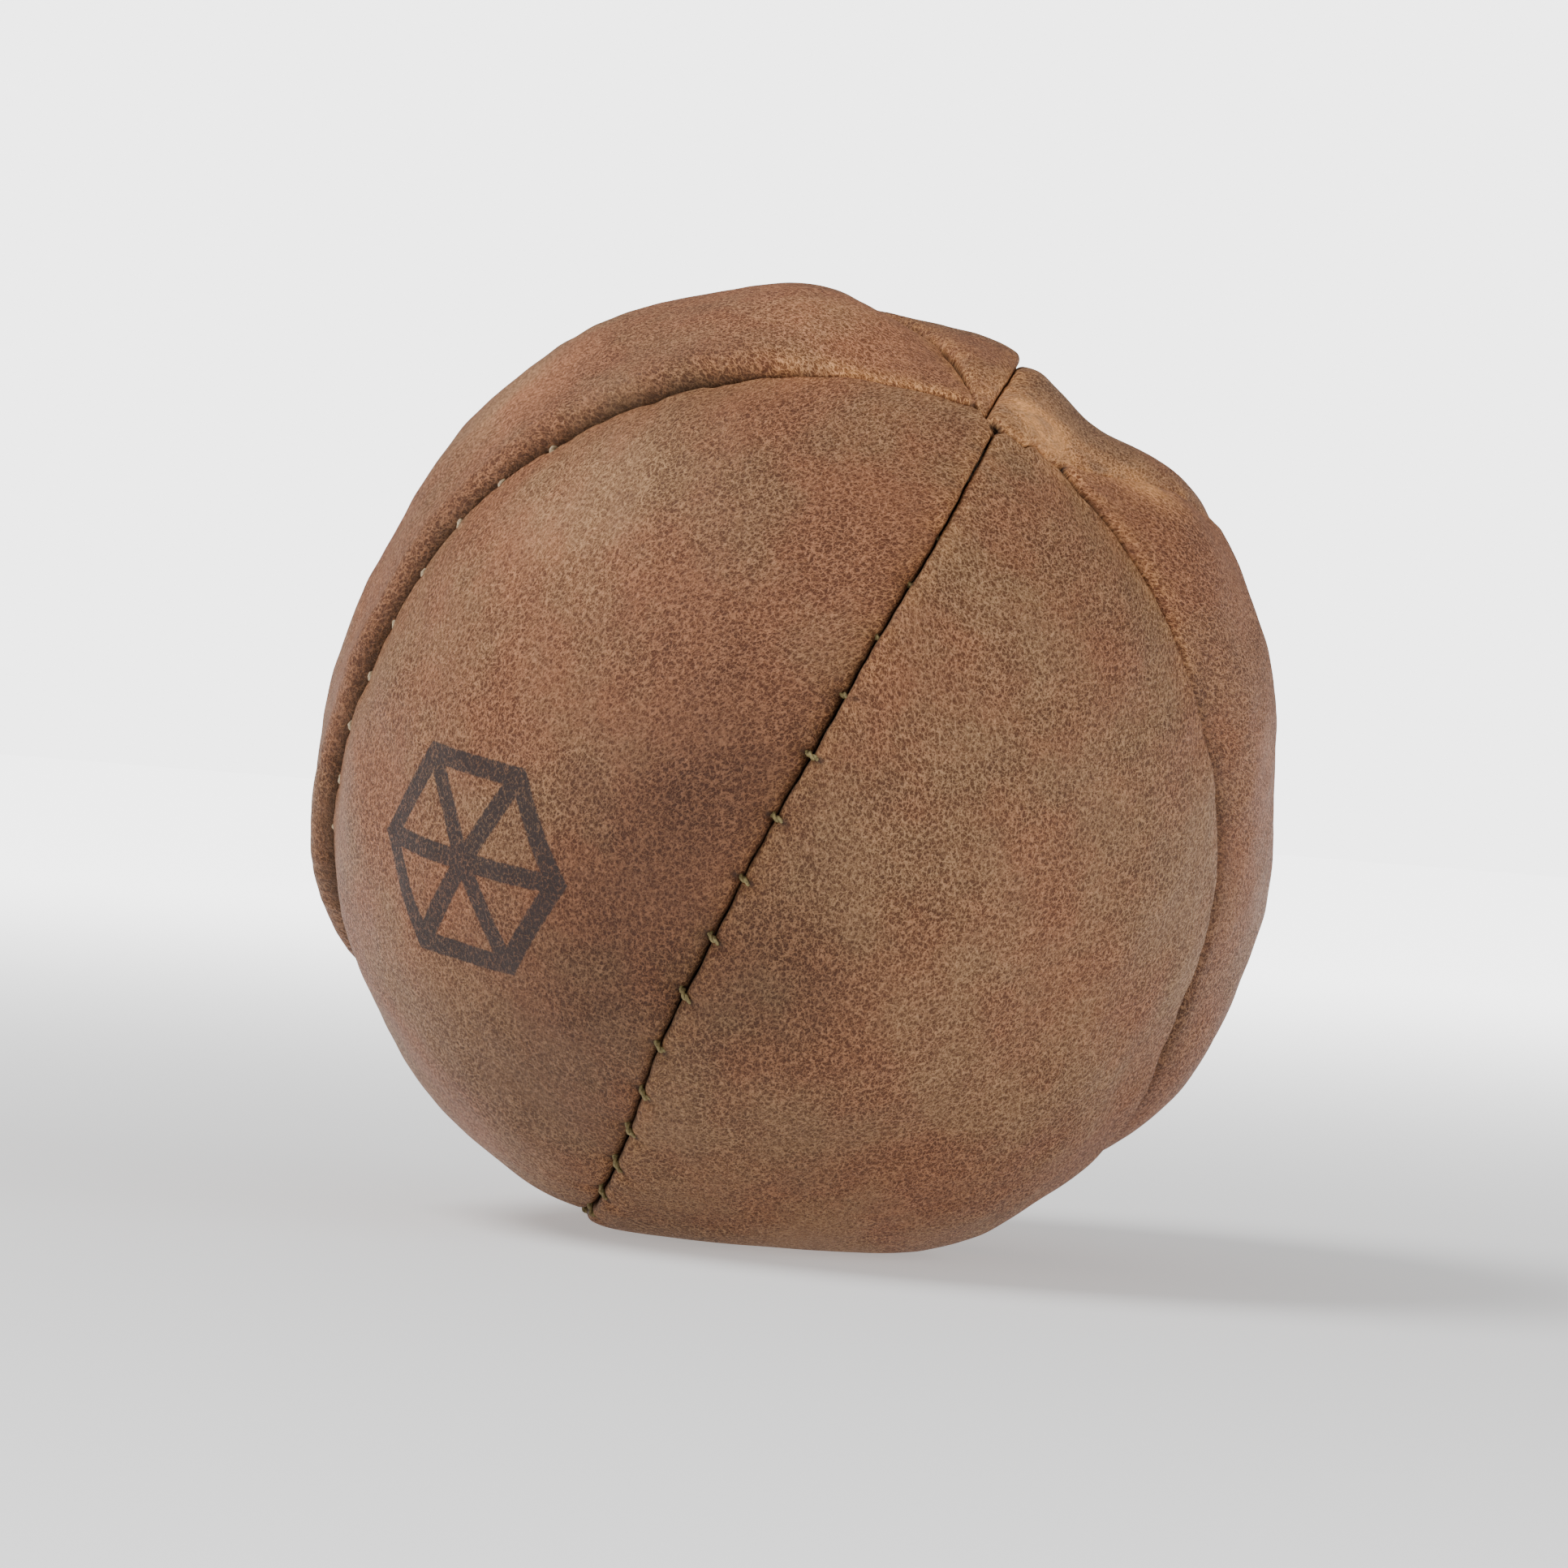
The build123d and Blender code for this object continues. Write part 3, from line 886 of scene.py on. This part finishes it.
def sand_material():
    """Dry sand: grains about half a millimetre across, each of its own colour."""
    graph = Graph("dry_sand")
    place = graph.scaled(graph.add("TexCoord", {}, "Object"), 1 / MM)
    grain = graph.add("TexVoronoi", {"Vector": place, "Scale": 2.0}, "Color")
    share = graph.vector("DOT_PRODUCT", grain, (1, 0, 0), "Value")
    graph.feed(graph.shader.inputs["Base Color"], graph.mix(share, DARK_GRAIN, PALE_GRAIN))
    graph.feed(graph.shader.inputs["Roughness"], graph.span(share, 0.0, 1.0, 0.6, 0.95))
    graph.bump(graph.cells(place, 2.0), 0.0003)
    return graph.material


# ----------------------------------------------------------
# The cotton bag and its sand
# ----------------------------------------------------------
BAG_CLEARANCE = 0.5
BAG_COLUMNS = 144
BAG_ROWS = 120
WELL_RADIUS = 5.0
WELL_FLOOR = CORE_RADIUS - 4.0
NECK_WAIST_RADIUS = 1.75
NECK_FLARE_RADIUS = 3.2
NECK_PLEATS = 12
BAG_VALLEY_REACH = 5.0
FLANGE_ROOM = (2.3, 5.4)  # from a seam, where the bag rises out from under the flanges
BAG_BELOW_FLANGE = 0.4


def gathered_neck():
    """Rings of the bag's neck and the well round it: distance from the pole axis, height, pleats."""
    waist = WELL_FLOOR + 2.6
    return [
        (NECK_FLARE_RADIUS - 0.3, NECK_TOP - 0.1, 0.14),
        (NECK_FLARE_RADIUS, NECK_TOP - 0.5, 0.14),
        (2.4, (waist + NECK_TOP) / 2 + 0.4, 0.12),
        (1.9, (waist + NECK_TOP) / 2 - 0.8, 0.08),
        (NECK_WAIST_RADIUS, waist, 0.04),
        (2.1, waist - 1.0, 0.06),
        (2.9, WELL_FLOOR + 0.6, 0.07),
        (NECK_FLARE_RADIUS + 0.5, WELL_FLOOR + 0.1, 0.05),
        (WELL_RADIUS - 0.4, WELL_FLOOR + 0.2, 0.02),
        (WELL_RADIUS, WELL_FLOOR + 0.8, 0.01),
        (WELL_RADIUS + 0.1, CORE_RADIUS - 1.6, 0.0),
    ]


def sand_top(inset):
    """Rings of the sand's flat top, under the well."""
    floor = WELL_FLOOR - inset
    return [
        (0.6, floor, 0.0),
        (3.0, floor, 0.0),
        (WELL_RADIUS, floor, 0.0),
        (WELL_RADIUS + inset, floor + 0.6, 0.0),
    ]


def lobed_radius(longitude, latitude, inset):
    """The bag swells into the six gores, and the flanges press it in between them."""
    girth = BALL_RADIUS * math.cos(math.radians(latitude))
    nearest = np.full(len(longitude), 1000.0)
    for index in range(PANEL_COUNT):
        turn = (longitude - seam_between(index, np.array([latitude])) + 180) % 360 - 180
        nearest = np.minimum(nearest, np.abs(np.radians(turn)) * girth)
    towards = directions(longitude, np.full(len(longitude), latitude))
    swollen = filled_radius(towards, panel_seed(0)) - LEATHER - BAG_CLEARANCE - inset
    swollen -= VALLEY_DEPTH * falling(nearest, BAG_VALLEY_REACH)
    share = smooth_step(*FLANGE_ROOM, nearest)
    core = CORE_RADIUS - BAG_BELOW_FLANGE - inset
    return towards, core + share * (swollen - core)


def bag_skin(name, rings, inset):
    longitude = np.arange(BAG_COLUMNS) * 360 / BAG_COLUMNS
    turn = np.radians(longitude)[:, None]
    around = np.cos(turn) * EAST_0 + np.sin(turn) * EAST_90
    points = []
    for from_axis, height, pleat in rings:
        pleated = from_axis * (1 + pleat * np.cos(np.radians(NECK_PLEATS * longitude)))
        points.append(CENTRE + around * pleated[:, None] + POLE * height)
    shoulder = math.degrees(math.acos((WELL_RADIUS + 0.4) / CORE_RADIUS))
    for latitude in np.linspace(shoulder, -89.0, BAG_ROWS):
        towards, radius = lobed_radius(longitude, latitude, inset)
        points.append(CENTRE + towards * radius[:, None])
    points = np.concatenate(points)
    points[:, 2] = np.maximum(points[:, 2], LEATHER + BAG_CLEARANCE + inset)
    faces = []
    rows = len(points) // BAG_COLUMNS
    for row in range(rows - 1):
        for column in range(BAG_COLUMNS):
            here = row * BAG_COLUMNS + column
            beside = row * BAG_COLUMNS + (column + 1) % BAG_COLUMNS
            faces.append([here, beside, beside + BAG_COLUMNS, here + BAG_COLUMNS])
    faces.append(list(range(BAG_COLUMNS)))
    faces.append(list(range((rows - 1) * BAG_COLUMNS, rows * BAG_COLUMNS)))
    return mesh_piece(name, points, faces)


# ----------------------------------------------------------
# Threads
# ----------------------------------------------------------
STRAND_RADIUS = 0.13
STRAND_OFFSET = 0.8 * STRAND_RADIUS
STRAND_SIDES = 7
TWIST_PITCH = 1.1
THREAD_STEP = 0.16
THREAD_BEHIND_FLANGE = 2.15
THREAD_RUN_DEPTH = 3.0
STITCH_SHIFT = 0.12
STITCH_SLANT = 0.3
SHUT_STITCH_DEPTH = 0.6
FIRST_CLOSING_STITCH = 5


def seam_place(index, latitude, offset, below):
    """A place offset millimetres past a seam, and so far below the smooth surface there."""
    longitude = seam_between(index, latitude)
    girth = BALL_RADIUS * np.cos(np.radians(latitude))
    towards = directions(longitude + np.degrees(offset / girth), np.asarray(latitude))
    radius = filled_radius(towards[None], panel_seed(index))[0] - VALLEY_DEPTH
    return CENTRE + towards * (radius - below)


def stitch_route(index, latitudes):
    """A thread's route: across the opening at each stitch, and behind one flange to the next.

    Each place of a crossing is an offset from the seam, a depth, and how far along the slant it is.
    """
    places = []
    for number, latitude in enumerate(latitudes):
        depth = SEAMS[index].stitches.depth + SHUT_STITCH_DEPTH * smooth_step(35, 50, latitude)
        side = 1 if number % 2 else -1
        slant = -side * STITCH_SLANT
        crossing = (
            (side * THREAD_BEHIND_FLANGE, THREAD_RUN_DEPTH, 0.9),
            (side * 0.75 + STITCH_SHIFT, depth + 0.75, 0.8),
            (side * 0.38 + STITCH_SHIFT, depth + 0.05, 0.5),
            (STITCH_SHIFT, depth, 0.0),
            (-side * 0.38 + STITCH_SHIFT, depth + 0.2, -0.4),
            (-side * 0.75 + STITCH_SHIFT, depth + 0.9, -0.7),
            (-side * THREAD_BEHIND_FLANGE, THREAD_RUN_DEPTH, -0.9),
        )
        over_edge = max(SEAMS[index].after.lift, 0) * openness(index, latitude)
        for offset, below, along in crossing:
            below -= over_edge if offset > 0 else 0
            places.append(seam_place(index, latitude + slant * along, offset, below))
    return np.array(places)


def smooth_route(places):
    """Points a THREAD_STEP apart on a curve through the places."""
    before = np.vstack([2 * places[0] - places[1], places[:-1]])
    after = np.vstack([places[1:], 2 * places[-1] - places[-2]])
    slopes = (after - before) / 2
    curve = []
    for k in range(len(places) - 1):
        length = np.linalg.norm(places[k + 1] - places[k])
        t = np.linspace(0, 1, max(2, int(length / THREAD_STEP)), endpoint=False)[:, None]
        curve.append(
            (2 * t**3 - 3 * t**2 + 1) * places[k] + (t**3 - 2 * t**2 + t) * slopes[k]
            + (3 * t**2 - 2 * t**3) * places[k + 1] + (t**3 - t**2) * slopes[k + 1]
        )
    return np.vstack([*curve, places[-1:]])


def twisted_thread(name, route):
    """Two strands wound round a route, as closed tubes."""
    points, faces = [], []
    along = np.gradient(route, axis=0)
    along /= np.linalg.norm(along, axis=1)[:, None]
    side = np.zeros_like(route)
    side[0] = unit(np.cross(along[0], along[0] + np.array([0.3, 0.7, 0.2])))
    for k in range(1, len(route)):
        side[k] = unit(side[k - 1] - along[k] * side[k - 1].dot(along[k]))
    other = np.cross(along, side)
    travelled = np.concatenate([[0], np.cumsum(np.linalg.norm(np.diff(route, axis=0), axis=1))])
    for start in (0, math.pi):
        spin = (2 * math.pi * travelled / TWIST_PITCH + start)[:, None]
        core = route + STRAND_OFFSET * (np.cos(spin) * side + np.sin(spin) * other)
        add_tube(points, faces, core, side, other)
    return mesh_piece(name, np.concatenate(points), faces)


def add_tube(points, faces, core, side, other):
    start = sum(len(block) for block in points)
    turn = np.linspace(0, 2 * math.pi, STRAND_SIDES, endpoint=False)[None, :, None]
    ring = np.cos(turn) * side[:, None] + np.sin(turn) * other[:, None]
    points.append((core[:, None] + STRAND_RADIUS * ring).reshape(-1, 3))
    for k in range(len(core) - 1):
        for j in range(STRAND_SIDES):
            here = start + k * STRAND_SIDES + j
            beside = start + k * STRAND_SIDES + (j + 1) % STRAND_SIDES
            faces.append([here, beside, beside + STRAND_SIDES, here + STRAND_SIDES])
    faces.append([start + j for j in reversed(range(STRAND_SIDES))])
    faces.append([start + (len(core) - 1) * STRAND_SIDES + j for j in range(STRAND_SIDES)])


# ----------------------------------------------------------
# Assembly
# ----------------------------------------------------------
def place_piece(piece, node, material):
    piece.data.materials.append(material)
    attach(piece, "root")
    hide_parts(node)


plain_leather = leather_material("pull_up_leather", printed=False)
printed_leather = leather_material("printed_leather", printed=True)
for index in range(PANEL_COUNT):
    panel = leather_panel(index)
    leather = printed_leather if index == PANEL_COUNT - 1 else plain_leather
    place_piece(panel, f"leather_panel_{index + 1}", leather)

olive_thread = thread_material("olive_waxed_thread", *OLIVE_THREAD)
tan_thread = thread_material("tan_waxed_thread", *TAN_THREAD)
for index in range(PANEL_COUNT):
    latitudes = stitch_latitudes(index)
    if index == 0:  # the upper stitches are the seam's own, and the lower ones closed the ball
        route = smooth_route(stitch_route(index, latitudes[FIRST_CLOSING_STITCH:]))
        piece = twisted_thread("closing_stitches", route)
        place_piece(piece, "closing_thread", olive_thread)
        latitudes = latitudes[:FIRST_CLOSING_STITCH]
    route = smooth_route(stitch_route(index, latitudes))
    piece = twisted_thread(f"seam_stitches_{index + 1}", route)
    colour = tan_thread if index == PANEL_COUNT - 1 else olive_thread
    place_piece(piece, f"seam_thread_{index + 1}", colour)

CLOTH = 0.5
bag = bag_skin("gathered_cotton_bag", gathered_neck(), 0)
place_piece(bag, "sand_bag", cotton_material())
sand = bag_skin("sand_fill", sand_top(CLOTH), CLOTH)
place_piece(sand, "sand_filling", sand_material())
tie_cord = thread_material("white_tie_cord", *WHITE_CORD)
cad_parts["bag_tie"].data.materials[0] = tie_cord

# ----------------------------------------------------------
# Camera, light and floor
# ----------------------------------------------------------
CAMERA_DISTANCE = 12 * BALL_RADIUS
camera_data = bpy.data.cameras.new("camera")
camera = bpy.data.objects.new("camera", camera_data)
bpy.context.scene.collection.objects.link(camera)
bpy.context.scene.camera = camera
camera_data.sensor_width = 36.0
camera_data.lens = 133.0
camera_data.shift_x = -0.0093
camera_data.shift_y = -0.0057
camera_data.clip_start = 0.01
camera.matrix_world = Matrix((
    (VIEW_RIGHT[0], VIEW_UP[0], FRONT[0], 0.0),
    (VIEW_RIGHT[1], VIEW_UP[1], FRONT[1], FRONT[1] * CAMERA_DISTANCE * MM),
    (VIEW_RIGHT[2], VIEW_UP[2], FRONT[2], CENTRE[2] * MM),
    (0, 0, 0, 1),
))

BACKDROP_GLOW = 4.0  # as the camera sees it
ROOM_GLOW = 0.28  # as it lights the ball
NEAR_GLOW = 0.4
SWEEP_RADIUS = 0.8  # metres
FLOOR_REACH = 4


def floor_material():
    """Matt white paper that glows, more with distance, so that it meets the backdrop without a line."""
    graph = Graph("pale_floor")
    graph.shader.inputs["Base Color"].default_value = PAPER_WHITE
    graph.shader.inputs["Roughness"].default_value = 0.9
    graph.shader.inputs["Specular IOR Level"].default_value = 0.1
    distance = graph.vector("LENGTH", graph.add("TexCoord", {}, "Object"), (0, 0, 0), "Value")
    graph.shader.inputs["Emission Color"].default_value = (1, 1, 1, 1)
    glow = graph.span(distance, 0.0, SWEEP_RADIUS, NEAR_GLOW, BACKDROP_GLOW)
    graph.feed(graph.shader.inputs["Emission Strength"], glow)
    return graph.material


floor_mesh = bpy.data.meshes.new("floor")
corners = [(x * FLOOR_REACH, y * FLOOR_REACH, 0) for x, y in ((-1, -1), (1, -1), (1, 1), (-1, 1))]
floor_mesh.from_pydata(corners, [], [(0, 1, 2, 3)])
floor = bpy.data.objects.new("floor", floor_mesh)
bpy.context.scene.collection.objects.link(floor)
floor_mesh.materials.append(floor_material())


def soft_light(name, place, size, power):
    """An area light aimed at the ball's centre. place is in metres."""
    data = bpy.data.lights.new(name, "AREA")
    data.shape = "DISK"
    data.size = size
    data.energy = power
    light = bpy.data.objects.new(name, data)
    light.location = place
    aim = Vector(CENTRE * MM) - Vector(place)
    light.rotation_euler = aim.to_track_quat("-Z", "Y").to_euler()
    bpy.context.scene.collection.objects.link(light)


soft_light("key", (-0.42, -0.12, 0.62), size=0.36, power=4.1)
soft_light("fill_right", (0.65, -0.25, 0.25), size=0.5, power=1.3)
soft_light("fill_low", (0.10, -0.75, 0.06), size=0.4, power=0.3)

world = bpy.data.worlds.new("studio")
bpy.context.scene.world = world
world.use_nodes = True
world_nodes = world.node_tree
background = world_nodes.nodes["Background"]
background.inputs["Color"].default_value = (1, 1, 1, 1)
ray = world_nodes.nodes.new("ShaderNodeLightPath")
glow = world_nodes.nodes.new("ShaderNodeMapRange")
glow.inputs["To Min"].default_value = ROOM_GLOW
glow.inputs["To Max"].default_value = BACKDROP_GLOW
world_nodes.links.new(ray.outputs["Is Camera Ray"], glow.inputs["Value"])
world_nodes.links.new(glow.outputs[0], background.inputs["Strength"])
